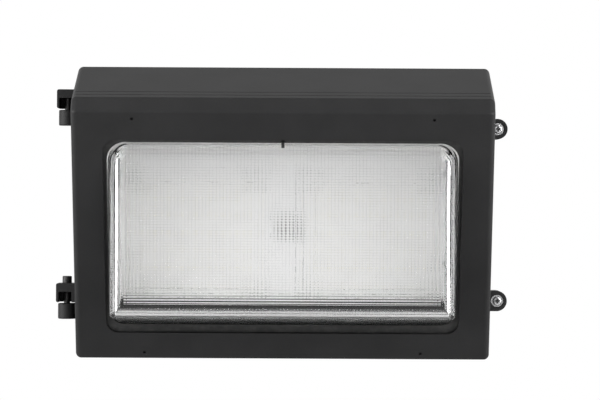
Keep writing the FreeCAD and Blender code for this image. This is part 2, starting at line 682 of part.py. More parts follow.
def driver_case():
    """Open tray with a tab at each end, seated on its two bosses."""
    half = DRIVER_LENGTH / 2
    low = DRIVER_Z - DRIVER_HEIGHT / 2
    high = DRIVER_Z + DRIVER_HEIGHT / 2
    front = DRIVER_BACK - DRIVER_DEPTH
    tray = block(-half, half, front, DRIVER_BACK, low, high)
    room = block(
        -half + DRIVER_SHEET, half - DRIVER_SHEET, front - EXTRA, DRIVER_BACK - DRIVER_SHEET,
        low + DRIVER_SHEET, high - DRIVER_SHEET,
    )
    reach = half + DRIVER_TAB
    seat = DRIVER_BACK - DRIVER_SHEET
    tabs = block(-reach, reach, seat, DRIVER_BACK, DRIVER_Z - DRIVER_TAB, DRIVER_Z + DRIVER_TAB)
    tray = tray.cut(room).fuse(tabs)
    over = V(0, DRIVER_SHEET + EXTRA, 0)
    through = V(DRIVER_SHEET + EXTRA, 0, 0)
    cuts = []
    for place in driver_screw_places():
        centre = place + V(0, DRIVER_BACK, 0)
        cuts.append(rod(M4_RADIUS + HOLE_FIT, centre - over, centre + over))
    for route in input_routes():
        cuts.append(rod(LEAD_RADIUS + THREAD_FIT, route[0] + V(EXTRA, 0, 0), route[0] - through))
    start = output_route()[0]
    cuts.append(rod(OUTPUT_LEAD_RADIUS + THREAD_FIT, start - V(EXTRA, 0, 0), start + through))
    return tray.cut(cuts).removeSplitter()


def driver_cover():
    """Lid whose lip drops inside the tray."""
    half = DRIVER_LENGTH / 2
    low = DRIVER_Z - DRIVER_HEIGHT / 2
    high = DRIVER_Z + DRIVER_HEIGHT / 2
    seat = DRIVER_BACK - DRIVER_DEPTH
    lid = block(-half, half, seat - DRIVER_SHEET, seat, low, high)
    edge = DRIVER_SHEET + HOLE_FIT
    lip = block(-half + edge, half - edge, seat, seat + 4 * DRIVER_SHEET, low + edge, high - edge)
    edge = edge + DRIVER_SHEET
    lip = lip.cut(block(-half + edge, half - edge, seat, seat + 5 * DRIVER_SHEET, low + edge, high - edge))
    return lid.fuse(lip).removeSplitter()


def driver_screws():
    seats = [place + V(0, DRIVER_BACK - DRIVER_SHEET, 0) for place in driver_screw_places()]
    length = DRIVER_SHEET + M4_BITE
    return Part.makeCompound([
        pan_screw(M4_RADIUS, length, M4_HEAD_RADIUS, M4_HEAD_HEIGHT, seat, OUTWARD) for seat in seats
    ])


def ground_screw():
    seat = V(GROUND_SCREW_X, -BOX_FLOOR - GROUND_BOSS_HEIGHT, GROUND_SCREW_Z)
    return pan_screw(M4_RADIUS, M4_BITE, M4_HEAD_RADIUS, M4_HEAD_HEIGHT, seat, OUTWARD)


def cable(points, radius):
    """Round wire along straight runs joined by tangent arcs, as wide as the shorter run allows."""
    edges = []
    start = points[0]
    for before, corner, after in zip(points, points[1:], points[2:]):
        run_in = corner - before
        run_out = after - corner
        half_turn = run_in.getAngle(run_out) / 2
        cut = BEND_SHARE * min(run_in.Length, run_out.Length)
        bend = cut / math.tan(half_turn)
        way_in = run_in / run_in.Length
        way_out = run_out / run_out.Length
        inward = way_out - way_in
        first = corner - way_in * cut
        last = corner + way_out * cut
        middle = corner + inward * ((bend / math.cos(half_turn) - bend) / inward.Length)
        edges.append(Part.LineSegment(start, first).toShape())
        edges.append(Part.Arc(first, middle, last).toShape())
        start = last
    edges.append(Part.LineSegment(start, points[-1]).toShape())
    path = Part.Wire(edges)
    circle = Part.makeCircle(radius, points[0], points[1] - points[0])
    return path.makePipeShell([Part.Wire(circle)], True, False)


def input_routes():
    """The three supply leads: out of the driver's left end, down, and across to their nuts."""
    y = -BOX_FLOOR - LEAD_PLANE
    start_x = -DRIVER_LENGTH / 2 + DRIVER_SHEET
    routes = []
    for index in range(3):
        step = index * LEAD_PITCH
        outer_x = start_x - INPUT_SWEEP - step
        start_z = DRIVER_Z - LEAD_PITCH + step
        end_z = REAR_ENTRY_Z + 2 * LEAD_PITCH - step
        routes.append([
            V(start_x, y, start_z),
            V(outer_x, y, start_z),
            V(outer_x, y, end_z),
            V(INPUT_END_X, y, end_z),
        ])
    return routes


def input_leads():
    return Part.makeCompound([cable(route, LEAD_RADIUS) for route in input_routes()])


def wire_nuts():
    nuts = []
    for route in input_routes():
        mouth = route[-1] - V(NUT_BITE, 0, 0)
        nut = Part.makeCone(NUT_RADIUS, NUT_TIP_RADIUS, NUT_LENGTH, mouth, X_AXIS)
        nuts.append(nut.cut(rod(LEAD_RADIUS + THREAD_FIT, mouth - V(EXTRA, 0, 0), route[-1])))
    return Part.makeCompound(nuts)


def output_route():
    """From the driver's right end, down behind the plate, and forward through the grommet."""
    y = -BOX_FLOOR - LEAD_PLANE
    start_x = DRIVER_LENGTH / 2 - DRIVER_SHEET
    outer_x = start_x + OUTPUT_SWEEP
    tip = PLATE_FRONT - GROMMET_FLANGE - CONNECTOR_DEPTH / 2
    return [
        V(start_x, y, DRIVER_Z),
        V(outer_x, y, DRIVER_Z),
        V(outer_x, y, CONNECTOR_Z),
        V(CONNECTOR_X, y, CONNECTOR_Z),
        V(CONNECTOR_X, tip, CONNECTOR_Z),
    ]


# ---- Door -----------------------------------------------------------------------------------------

def door_profile():
    """Side view of the door in (y, z), anticlockwise from the top of its rim."""
    return [
        (DOOR_BACK, TOP_Z),
        (FOLD_Y + BROW_RUN, BROW_Z),
        (FOLD_Y, FOLD_Z),
        (CHIN_Y, BOTTOM_Z),
        (DOOR_BACK, BOTTOM_Z),
    ]


def wedge(profile, inset):
    """Solid of a side profile between the two drafted sides."""
    points = [V(0, y, z) for y, z in profile]
    face = Part.Face(Part.makePolygon(points + points[:1]))
    slab = face.extrude(V(BODY_WIDTH, 0, 0)).translated(V(-HALF_WIDTH, 0, 0))
    back = DOOR_BACK + EXTRA
    front = FOLD_Y - EXTRA
    slope = DOOR_DRAFT / DOOR_DEPTH
    wide = HALF_WIDTH - inset + slope * EXTRA
    narrow = HALF_WIDTH - inset - slope * (DOOR_BACK - front)
    plan = [V(-wide, back, -BODY_HEIGHT), V(wide, back, -BODY_HEIGHT)]
    plan += [V(narrow, front, -BODY_HEIGHT), V(-narrow, front, -BODY_HEIGHT)]
    sides = Part.Face(Part.makePolygon(plan + plan[:1])).extrude(V(0, 0, 2 * BODY_HEIGHT))
    return slab.common(sides).removeSplitter()


def folds(solid):
    """Straight edges right across the door, in front of its rim."""
    front = DOOR_BACK - EXTRA
    return [edge for edge in solid.Edges if edge.Length > BODY_WIDTH / 2 and edge.BoundBox.YMax < front]


def door_outside():
    """Outer form with rounded side edges and softer folds across."""
    solid = wedge(door_profile(), 0)
    chin = [edge for edge in folds(solid) if edge.BoundBox.ZMax < 0]
    solid = solid.makeFillet(CHIN_EDGE, chin)
    brow = [edge for edge in folds(solid) if edge.BoundBox.ZMin > FOLD_Z - EXTRA]
    solid = solid.makeFillet(BROW_EDGE, brow)
    sides = []
    for edge in solid.Edges:
        box = edge.BoundBox
        if box.XLength < BODY_WIDTH / 2 and box.YMin < DOOR_BACK - EXTRA:
            sides.append(edge)
    return solid.makeFillet(DOOR_EDGE, sides)


def door_inside():
    wall = DOOR_WALL
    profile = inset_profile(door_profile(), [wall, wall, wall, wall, -EXTRA])
    return wedge(profile, wall)


def clip_places():
    """Each glass clip: its boss on the face, and the turn that points it at the glass."""
    side_x = FLANGE_HALF_WIDTH + CLIP_BOSS_MARGIN
    top = FLANGE_TOP - CLIP_BOSS_MARGIN
    bottom = FLANGE_BOTTOM + CLIP_BOSS_MARGIN
    middle = (WINDOW_TOP + WINDOW_BOTTOM) / 2
    places = [(x, top, -90) for x in (-CLIP_SPREAD, CLIP_SPREAD)]
    places += [(x, bottom, 90) for x in (-CLIP_SPREAD, CLIP_SPREAD)]
    places += [(-side_x, middle, 0), (side_x, middle, 180)]
    return places


def hinge_bracket(gap_z):
    """Door's half of a hinge: a plate over a pocket that shows the pin."""
    low = gap_z + HINGE_GAP / 2
    high = low + BRACKET_LENGTH
    inner = -HALF_WIDTH + DOOR_WALL / 2
    body = Part.makeCylinder(BRACKET_RADIUS, BRACKET_LENGTH, V(HINGE_X, SEAM_Y, low))
    front = SEAM_Y - BRACKET_FRONT
    body = body.fuse(block(HINGE_X - BRACKET_RADIUS, HINGE_X + BRACKET_RADIUS, front, SEAM_Y, low, high))
    body = body.fuse(block(HINGE_X, inner, front, DOOR_BACK, low, high))
    corner = BRACKET_ROUND
    plane = facing(SEAM_Y + BRACKET_RADIUS)
    front_view = outline(HINGE_X - BRACKET_RADIUS, inner + corner, low, high, corner, corner, plane)
    body = body.common(prism(front_view, plane, BRACKET_RADIUS + BRACKET_FRONT))
    pocket = block(
        HINGE_X - BRACKET_RADIUS + BRACKET_LIP, HINGE_X + PIN_RADIUS + BRACKET_LIP, front - EXTRA,
        SEAM_Y + PIN_RADIUS + BRACKET_LIP, low - EXTRA, high - BRACKET_PLATE,
    )
    return body.cut(pocket)


def door_ear(z):
    front = DOOR_BACK - EAR_DEPTH
    ear = rod(EAR_RADIUS, V(EAR_BODY_X, DOOR_BACK, z), V(EAR_BODY_X, front, z))
    inner = HALF_WIDTH - DOOR_WALL / 2
    return ear.fuse(block(inner, EAR_BODY_X, front, DOOR_BACK, z - EAR_RADIUS, z + EAR_RADIUS))


def roof_grooves():
    """Two shallow grooves that run over the roof, behind the brow."""
    start = V(0, FOLD_Y + BROW_RUN, BROW_Z)
    end = V(0, DOOR_BACK, TOP_Z)
    way = (end - start) / (end - start).Length
    grooves = []
    for setback in ROOF_GROOVE_SETBACKS:
        centre = start + way * setback
        grooves.append(rod(ROOF_GROOVE / 2, centre - V(HALF_WIDTH, 0, 0), centre + V(HALF_WIDTH, 0, 0)))
    return grooves


def window():
    """Cutter for the rounded opening in the face."""
    plane = FreeCAD.Placement(V(0, 0, -2 * DOOR_WALL), FreeCAD.Rotation())
    opening = prism(
        outline(
            -WINDOW_HALF_WIDTH, WINDOW_HALF_WIDTH, -WINDOW_BOTTOM, -WINDOW_TOP,
            WINDOW_CORNER, WINDOW_CORNER, plane,
        ),
        plane, 4 * DOOR_WALL,
    )
    opening.Placement = FACE
    return opening


def clip_screw_holes():
    holes = []
    for x, drop, turn in clip_places():
        mouth = on_face(x, drop, GLASS_BACK - EXTRA)
        floor = on_face(x, drop, GLASS_BACK + M3_BITE + HOLE_FIT)
        holes.append(rod(M3_RADIUS + THREAD_FIT, mouth, floor))
    return holes


def pin_holes():
    """The upper bracket stays closed over its pin, and the lower one is bored right through."""
    upper_top = UPPER_HINGE_Z + HINGE_GAP / 2 + BRACKET_LENGTH - UPPER_PIN_COVER + HOLE_FIT
    lower_top = LOWER_HINGE_Z + HINGE_GAP / 2 + BRACKET_LENGTH + EXTRA
    holes = []
    for gap_z, top in ((UPPER_HINGE_Z, upper_top), (LOWER_HINGE_Z, lower_top)):
        holes.append(rod(PIN_RADIUS + PIN_RUNNING_FIT, V(HINGE_X, SEAM_Y, gap_z), V(HINGE_X, SEAM_Y, top)))
    return holes


def door_screw_holes():
    holes = []
    front = DOOR_BACK - EAR_DEPTH
    for z in (UPPER_EAR_Z, LOWER_EAR_Z):
        mouth = V(EAR_X, front - EXTRA, z)
        holes.append(rod(DOOR_SCREW_RADIUS + HOLE_FIT, V(EAR_X, DOOR_BACK + EXTRA, z), mouth))
        holes.append(rod(COUNTERBORE_RADIUS, V(EAR_X, front + COUNTERBORE_DEPTH, z), mouth))
    return holes


def accessory_holes():
    """Two blind holes over the window and two under it."""
    holes = []
    for half, drop in (
        (UPPER_HOLE_HALF_SPACING, UPPER_HOLE_DROP),
        (LOWER_HOLE_HALF_SPACING, FACE_LENGTH - LOWER_HOLE_RISE),
    ):
        for x in (-half, half):
            floor = on_face(x, drop, -ACCESSORY_HOLE_DEPTH)
            holes.append(rod(ACCESSORY_HOLE_RADIUS, on_face(x, drop, EXTRA), floor))
    return holes


def door_frame():
    rim = wedge(inset_profile(door_profile(), [DOOR_RIM_WIDTH] * 4 + [-EXTRA]), DOOR_RIM_WIDTH)
    behind = block(-HALF_WIDTH, HALF_WIDTH, DOOR_BACK - DOOR_RIM_DEPTH, DOOR_BACK + EXTRA, BOTTOM_Z, TOP_Z)
    body = door_outside().cut(door_inside().cut(behind).fuse(rim))
    for x, drop, turn in clip_places():
        boss = rod(CLIP_BOSS_RADIUS, on_face(x, drop, -DOOR_WALL / 2), on_face(x, drop, GLASS_BACK))
        body = body.fuse(boss)
    for gap_z in (UPPER_HINGE_Z, LOWER_HINGE_Z):
        body = body.fuse(hinge_bracket(gap_z))
    for z in (UPPER_EAR_Z, LOWER_EAR_Z):
        body = body.fuse(door_ear(z))
    holes = clip_screw_holes() + pin_holes() + door_screw_holes() + accessory_holes()
    return body.cut([window()] + roof_grooves() + holes)


# ---- Glass, its seal and clips --------------------------------------------------------------------

def lens_form(inset, depth):
    """Pressed tray in the face's axes: straight walls, then a rounded bend to its front."""
    profile = [
        (-GLASS_BOTTOM, GLASS_SEAT),
        (-GLASS_TOP, GLASS_SEAT),
        (-GLASS_TOP - GLASS_BROW_LEAN, GLASS_BROW_RISE),
        (-GLASS_BOTTOM + GLASS_CHIN_LEAN, GLASS_CHIN_RISE),
    ]
    points = inset_profile(profile, [-depth, inset, inset, inset])
    low_seat, high_seat, brow, chin = [V(y, z, 0) for y, z in points]
    upper_corner = GLASS_UPPER_CORNER - inset
    lower_corner = GLASS_LOWER_CORNER - inset
    sections = [(low_seat, high_seat, GLASS_BASE_HALF_WIDTH - inset, lower_corner, upper_corner)]
    for step in range(GLASS_BEND_STEPS):
        angle = math.pi / 2 * step / (GLASS_BEND_STEPS - 1)
        short = GLASS_BEND * (1 - math.sin(angle))
        inward = GLASS_BEND * (1 - math.cos(angle))
        low = chin + along(chin, low_seat, short) + along(chin, brow, inward)
        high = brow + along(brow, high_seat, short) + along(brow, chin, inward)
        half = GLASS_FRONT_HALF_WIDTH - inset - inward
        lower_corner = max(GLASS_CHIN_CORNER - inset - inward, GLASS_LEAST_CORNER)
        sections.append((low, high, half, lower_corner, upper_corner - inward))
    wires = []
    for low, high, half, lower_corner, corner in sections:
        rise = high - low
        lean = math.degrees(math.atan2(rise.y, rise.x))
        plane = FreeCAD.Placement(V(0, low.x, low.y), FreeCAD.Rotation(X_AXIS, lean))
        wires.append(outline(-half, half, 0, rise.Length, lower_corner, corner, plane))
    return loft(wires)


def along(start, end, distance):
    """Step of a given length from one point towards another."""
    return (end - start) * (distance / (end - start).Length)


def face_plate(half_width, top, bottom, corner, low, high):
    """Rounded plate parallel to the face, in the face's axes."""
    plane = FreeCAD.Placement(V(0, 0, low), FreeCAD.Rotation())
    wire = outline(-half_width, half_width, -bottom, -top, corner, corner, plane)
    return Part.Face(wire).extrude(V(0, 0, high - low))


def lens():
    corner = WINDOW_CORNER + GLASS_FLANGE_OVERLAP
    flange = face_plate(FLANGE_HALF_WIDTH, FLANGE_TOP, FLANGE_BOTTOM, corner, GLASS_BACK, GLASS_SEAT)
    glass = lens_form(0, 0).fuse(flange).cut(lens_form(GLASS, GLASS + EXTRA))
    glass.Placement = FACE
    return glass


def lens_seal():
    edge = LENS_SEAL_MARGIN
    corner = WINDOW_CORNER + GLASS_FLANGE_OVERLAP - edge
    top = FLANGE_TOP + edge
    bottom = FLANGE_BOTTOM - edge
    ring = face_plate(FLANGE_HALF_WIDTH - edge, top, bottom, corner, GLASS_SEAT, -DOOR_WALL)
    gap = LENS_SEAL_WALL_GAP
    half = GLASS_BASE_HALF_WIDTH + gap
    plane = FreeCAD.Placement(V(0, 0, GLASS_SEAT - EXTRA), FreeCAD.Rotation())
    wall = outline(
        -half, half, -GLASS_BOTTOM - gap, -GLASS_TOP + gap,
        GLASS_LOWER_CORNER + gap, GLASS_UPPER_CORNER + gap, plane,
    )
    reach = TONGUE_WIDTH / 2 + HOLE_FIT
    notch = block(
        -reach, reach, TONGUE_LOW - EXTRA, TONGUE_LOW + TONGUE_FOOT + HOLE_FIT,
        -DOOR_WALL - TONGUE_SHEET, -DOOR_WALL + EXTRA,
    )
    ring = ring.cut(prism(wall, plane, LENS_SEAL + 2 * EXTRA)).cut(notch)
    ring.Placement = FACE
    return ring


def lens_clips():
    """Flat steel clips from their bosses over the edge of the glass."""
    clips = []
    for x, drop, turn in clip_places():
        reach = CLIP_BOSS_RADIUS
        half = CLIP_WIDTH / 2
        low = GLASS_BACK - CLIP_SHEET
        sheet = block(-reach, CLIP_LENGTH - reach, -half, half, low, GLASS_BACK)
        sheet = sheet.cut(rod(M3_RADIUS + HOLE_FIT, V(0, 0, low - EXTRA), V(0, 0, GLASS_BACK + EXTRA)))
        sheet.Placement = FACE.multiply(FreeCAD.Placement(V(x, -drop, 0), FreeCAD.Rotation(V(0, 0, 1), turn)))
        clips.append(sheet)
    return Part.makeCompound(clips)


def lens_clip_screws():
    screws = []
    for x, drop, turn in clip_places():
        seat = on_face(x, drop, GLASS_BACK - CLIP_SHEET)
        length = CLIP_SHEET + M3_BITE
        screws.append(pan_screw(M3_RADIUS, length, M3_HEAD_RADIUS, M3_HEAD_HEIGHT, seat, FACE_OUT * -1))
    return Part.makeCompound(screws)


def lens_centre_clip():
    """Spring tongue: a foot behind the face's upper edge, and a hook over the top of the glass."""
    half = TONGUE_WIDTH / 2
    lower = TONGUE_LOW
    upper = lower + TONGUE_SHEET
    tongue = block(-half, half, lower, upper, -DOOR_WALL - TONGUE_SHEET, TONGUE_REACH)
    foot = block(-half, half, lower, lower + TONGUE_FOOT, -DOOR_WALL - TONGUE_SHEET, -DOOR_WALL)
    hook = block(-half, half, upper - TONGUE_HOOK, upper, TONGUE_REACH - TONGUE_SHEET, TONGUE_REACH)
    tongue = tongue.fuse(foot).fuse(hook).removeSplitter()
    tongue.Placement = FACE
    return tongue


# ---- Door screws ----------------------------------------------------------------------------------

def screw_seat(z):
    return V(EAR_X, DOOR_BACK - EAR_DEPTH + COUNTERBORE_DEPTH, z)


def screw_washer(z):
    seat = screw_seat(z)
    disc = rod(WASHER_RADIUS, seat, seat - V(0, WASHER_SHEET, 0))
    over = V(0, WASHER_SHEET + EXTRA, 0)
    return disc.cut(rod(DOOR_SCREW_RADIUS + HOLE_FIT, seat + over, seat - over))


def door_screw(z):
    seat = screw_seat(z) - V(0, WASHER_SHEET, 0)
    length = (BOX_FRONT + DOOR_SCREW_BITE) - seat.y
    return pan_screw(DOOR_SCREW_RADIUS, length, DOOR_SCREW_HEAD_RADIUS, DOOR_SCREW_HEAD_HEIGHT, seat, OUTWARD)


# ---- Write every piece ----------------------------------------------------------------------------

def build():
    os.makedirs("parts", exist_ok=True)
    plugs = entries()
    export("back_box", back_box())
    export("door_seal", door_seal())
    export("upper_hinge_pin", hinge_pin(UPPER_HINGE_Z, False))
    export("lower_hinge_pin", hinge_pin(LOWER_HINGE_Z, True))
    for side, (start, way) in plugs.items():
        export(side + "_conduit_plug", conduit_plug(start, way))
    export("conduit_plug_o_rings", Part.makeCompound([o_ring(start, way) for start, way in plugs.values()]))
    export("heat_plate", heat_plate())
    export("heat_plate_screws", heat_plate_screws())
    export("left_led_board", led_board(-1))
    export("right_led_board", led_board(1))
    export("led_chips", led_chips())
    export("led_board_screws", m3_screws(board_screw_places(-1) + board_screw_places(1), BOARD_SHEET))
    export("led_connector", led_connector())
    export("lead_grommet", lead_grommet())
    export("reflector", reflector())
    export("reflector_screws", m3_screws(reflector_screw_places(), REFLECTOR_SHEET))
    export("driver_case", driver_case())
    export("driver_cover", driver_cover())
    export("driver_screws", driver_screws())
    export("driver_input_leads", input_leads())
    export("driver_output_lead", cable(output_route(), OUTPUT_LEAD_RADIUS))
    export("wire_nuts", wire_nuts())
    export("ground_screw", ground_screw())
    export("door_frame", door_frame())
    export("lens", lens())
    export("lens_seal", lens_seal())
    export("lens_clips", lens_clips())
    export("lens_clip_screws", lens_clip_screws())
    export("lens_centre_clip", lens_centre_clip())
    for name, z in (("upper", UPPER_EAR_Z), ("lower", LOWER_EAR_Z)):
        export(name + "_door_screw", door_screw(z))
        export(name + "_screw_washer", screw_washer(z))


build()
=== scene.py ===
import math
import bmesh
import bpy
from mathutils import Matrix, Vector


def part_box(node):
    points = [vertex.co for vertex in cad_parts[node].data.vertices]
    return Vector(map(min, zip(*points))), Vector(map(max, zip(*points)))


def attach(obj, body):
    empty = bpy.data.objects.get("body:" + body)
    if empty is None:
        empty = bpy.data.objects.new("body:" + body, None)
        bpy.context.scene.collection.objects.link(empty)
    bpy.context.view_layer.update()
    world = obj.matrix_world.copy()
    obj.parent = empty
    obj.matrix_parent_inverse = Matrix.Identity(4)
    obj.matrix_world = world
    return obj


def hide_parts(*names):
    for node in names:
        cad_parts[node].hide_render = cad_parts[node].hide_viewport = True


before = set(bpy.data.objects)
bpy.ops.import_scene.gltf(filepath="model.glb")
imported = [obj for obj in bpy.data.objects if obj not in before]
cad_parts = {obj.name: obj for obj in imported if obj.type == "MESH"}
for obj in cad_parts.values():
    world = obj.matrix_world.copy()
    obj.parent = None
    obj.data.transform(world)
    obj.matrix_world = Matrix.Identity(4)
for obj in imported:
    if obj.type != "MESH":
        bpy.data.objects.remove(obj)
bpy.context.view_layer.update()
scene = bpy.context.scene
scene.view_settings.view_transform = "Standard"


# ---- Camera and studio ----------------------------------------------------------------------------
# The light hangs level and square to a long lens, in front of a white cyclorama. Two soft boxes stand
# at the sides, two small ones hang over them and two lie in front. A pale floor takes its shadow.
CAMERA_AT = (0.0134, -2.490, 0.0103)
CAMERA_ROLL = math.radians(-0.3)
CAMERA_LENS, CAMERA_SENSOR = 180.0, 36.0
AIM = (0.0, -0.1, 0.0)
ROOM_FRONT, ROOM_BACK = 0.33, 0.70
FLOOR_Z, FLOOR_RADIUS, FLOOR_CLEAR = -0.30, 1.4, 0.6
FLOOR_WHITE, MIRROR_LESS = 0.55, 0.45
WHITE = (1.0, 1.0, 1.0, 1.0)
OBJECT_SPOT = 3
CAMERA_RAY, GLOSSY_RAY, TRANSMISSION_RAY = 0, 3, 6
MIX_MASK, MIX_FIRST, MIX_SECOND, MIX_COLOUR = 0, 6, 7, 2

lens_camera = bpy.data.cameras.new("camera")
lens_camera.lens = CAMERA_LENS
lens_camera.sensor_width = CAMERA_SENSOR
camera = bpy.data.objects.new("camera", lens_camera)
camera.location = CAMERA_AT
camera.rotation_euler = (math.pi / 2, CAMERA_ROLL, 0.0)
scene.collection.objects.link(camera)
scene.camera = camera


class Shade:
    """A socket of a node tree, with the sums that the finishes need."""

    def __init__(self, tree, socket):
        self.tree = tree
        self.socket = socket

    def math(self, operation, *values):
        sockets = dict(enumerate(values))
        return make(self.tree, "ShaderNodeMath", {"operation": operation}, sockets)[0]

    def __add__(self, other):
        return self.math("ADD", self, other)

    def __radd__(self, other):
        return self.math("ADD", other, self)

    def __sub__(self, other):
        return self.math("SUBTRACT", self, other)

    def __rsub__(self, other):
        return self.math("SUBTRACT", other, self)

    def __mul__(self, other):
        return self.math("MULTIPLY", self, other)

    def __rmul__(self, other):
        return self.math("MULTIPLY", other, self)

    def most(self, other):
        return self.math("MAXIMUM", self, other)

    def least(self, other):
        return self.math("MINIMUM", self, other)

    def size(self):
        return self.math("ABSOLUTE", self)

    def root(self):
        return self.math("SQRT", self)

    def fraction(self):
        return self.math("FRACT", self)

    def ramp(self, low, high):
        """0 below one value, 1 above another, smooth between."""
        sockets = {"Value": self, "From Min": low, "From Max": high}
        return make(self.tree, "ShaderNodeMapRange", {"interpolation_type": "SMOOTHSTEP"}, sockets)[0]


def make(tree, kind, settings, sockets):
    """Make one node: its settings first, then the values or links of its sockets."""
    node = tree.nodes.new(kind)
    for name, value in settings.items():
        setattr(node, name, value)
    for name, value in sockets.items():
        if isinstance(value, Shade):
            tree.links.new(value.socket, node.inputs[name])
        else:
            node.inputs[name].default_value = value
    return [Shade(tree, socket) for socket in node.outputs]


world = bpy.data.worlds.new("studio")
world.use_nodes = True
scene.world = world
air = world.node_tree
air.nodes.clear()
direction = make(air, "ShaderNodeTexCoord", {}, {})[0]
depth, height = make(air, "ShaderNodeSeparateXYZ", {}, {0: direction})[1:]
behind = depth.ramp(-0.25, 0.35) * (1.0 - 0.65 * height.ramp(0.30, 0.60))
room = ROOM_FRONT + (ROOM_BACK - ROOM_FRONT) * behind
ray = make(air, "ShaderNodeLightPath", {}, {})
mirrored = ray[GLOSSY_RAY].most(ray[TRANSMISSION_RAY])
backdrop = ray[CAMERA_RAY].most(mirrored * behind)
glow = make(air, "ShaderNodeBackground", {}, {"Color": WHITE, "Strength": room})[0]
white = make(air, "ShaderNodeBackground", {}, {"Color": WHITE, "Strength": 1.0})[0]
seen = make(air, "ShaderNodeMixShader", {}, {0: backdrop, 1: glow, 2: white})[0]
make(air, "ShaderNodeOutputWorld", {}, {"Surface": seen})


def soft_box(name, place, width, tall, power):
    light = bpy.data.lights.new(name, "AREA")
    light.shape = "RECTANGLE"
    light.size = width
    light.size_y = tall
    light.energy = power
    lamp = bpy.data.objects.new(name, light)
    lamp.location = place
    lamp.rotation_euler = (Vector(AIM) - Vector(place)).to_track_quat("-Z", "Y").to_euler()
    scene.collection.objects.link(lamp)


soft_box("soft_box_left", (-2.0, -1.0, 0.1), 2.2, 2.2, 105.0)
soft_box("soft_box_right", (2.05, -1.0, 0.1), 2.2, 2.2, 105.0)
soft_box("soft_box_upper_left", (-0.95, -0.8, 1.7), 0.9, 0.9, 11.0)
soft_box("soft_box_upper_right", (0.95, -0.8, 1.7), 0.9, 0.9, 11.0)
soft_box("soft_box_front_left", (-0.95, -2.4, 0.40), 0.7, 0.5, 9.0)
soft_box("soft_box_front_right", (0.98, -2.4, 0.40), 0.7, 0.5, 10.0)


def piece(name, mesh_data):
    body = bpy.data.objects.new(name, mesh_data)
    scene.collection.objects.link(body)
    return body


def new_finish(name):
    """A material with an empty tree."""
    material = bpy.data.materials.new(name)
    material.use_nodes = True
    material.node_tree.nodes.clear()
    return material


def spots(tree, size, detail=2.0, roughness=0.5, stretch=(1.0, 1.0, 1.0)):
    """Noise on the piece's own coordinates, with grains of a size in metres."""
    place = make(tree, "ShaderNodeTexCoord", {}, {})[OBJECT_SPOT]
    place = make(tree, "ShaderNodeMapping", {}, {"Vector": place, "Scale": stretch})[0]
    sockets = {"Vector": place, "Scale": 1.0 / size, "Detail": detail, "Roughness": roughness}
    return make(tree, "ShaderNodeTexNoise", {}, sockets)[0]


def blend_colour(tree, mask, first, second):
    """Mix of two colours by a mask; each colour is a triple or a socket."""
    ends = [end if isinstance(end, Shade) else (*end, 1.0) for end in (first, second)]
    sockets = {MIX_MASK: mask, MIX_FIRST: ends[0], MIX_SECOND: ends[1]}
    return make(tree, "ShaderNodeMix", {"data_type": "RGBA"}, sockets)[MIX_COLOUR]


floor_mesh = bmesh.new()
bmesh.ops.create_circle(floor_mesh, cap_ends=True, segments=96, radius=FLOOR_RADIUS)
bmesh.ops.translate(floor_mesh, verts=floor_mesh.verts, vec=(0.0, 0.0, FLOOR_Z))
floor_data = bpy.data.meshes.new("floor")
floor_mesh.to_mesh(floor_data)
floor_mesh.free()
floor = piece("floor", floor_data)
paper = new_finish("pale_paper_floor")
sheet = paper.node_tree
grain = spots(sheet, 0.02)
tone = blend_colour(sheet, grain, (0.56, 0.56, 0.56), (0.60, 0.60, 0.60))
matt = {"Base Color": tone, "Roughness": 0.9, "Specular IOR Level": 0.1}
lit = make(sheet, "ShaderNodeBsdfPrincipled", {}, matt)[0]
blank = make(sheet, "ShaderNodeEmission", {}, {"Color": WHITE, "Strength": 1.0})[0]
ray = make(sheet, "ShaderNodeLightPath", {}, {})
spot = make(sheet, "ShaderNodeTexCoord", {}, {})[OBJECT_SPOT]
radius = make(sheet, "ShaderNodeVectorMath", {"operation": "LENGTH"}, {0: spot})[1]
bare = FLOOR_WHITE + (1.0 - FLOOR_WHITE) * radius.ramp(FLOOR_CLEAR, FLOOR_RADIUS)
mirrored = ray[GLOSSY_RAY].most(ray[TRANSMISSION_RAY]) * (bare - MIRROR_LESS)
shown = (ray[CAMERA_RAY] * bare).most(mirrored)
over = make(sheet, "ShaderNodeMixShader", {}, {0: shown, 1: lit, 2: blank})[0]
make(sheet, "ShaderNodeOutputMaterial", {}, {"Surface": over})
floor.data.materials.append(paper)


# ---- Castings ---------------------------------------------------------------------------------------
# The back box, the door and the three conduit plugs are aluminium castings. They are powder-coated in
# charcoal, with a fine grain of about half a millimetre and a low satin sheen.


def bump(tree, height, distance, strength):
    sockets = {"Height": height, "Distance": distance, "Strength": strength}
    return make(tree, "ShaderNodeBump", {}, sockets)[0]


def close_finish(material, sockets):
    """Give a material its shader, with the sockets' values or links."""
    tree = material.node_tree
    shader = make(tree, "ShaderNodeBsdfPrincipled", {}, sockets)[0]
    make(tree, "ShaderNodeOutputMaterial", {}, {"Surface": shader})
    return material


def dress(material, *nodes):
    """Give a finish to CAD nodes."""
    for node in nodes:
        mesh = bpy.data.objects[node].data
        if not mesh.materials:
            mesh.materials.append(material)
        for index in range(len(mesh.materials)):
            mesh.materials[index] = material


coat = new_finish("charcoal_powder_coat")
tree = coat.node_tree
grain = spots(tree, 0.0006, 3.0, 0.6)
drift = spots(tree, 0.03, 2.0, 0.5)
mask = 0.65 * grain + 0.35 * drift
colour = blend_colour(tree, mask.ramp(0.3, 0.7), (0.0075, 0.0075, 0.0077), (0.0135, 0.0135, 0.0138))
close_finish(coat, {
    "Base Color": colour,
    "Roughness": 0.44 + 0.14 * grain,
    "Specular IOR Level": 0.18,
    "Normal": bump(tree, grain, 0.00006, 0.8),
})
dress(coat, "back_box", "door_frame", "left_conduit_plug", "right_conduit_plug", "bottom_conduit_plug")


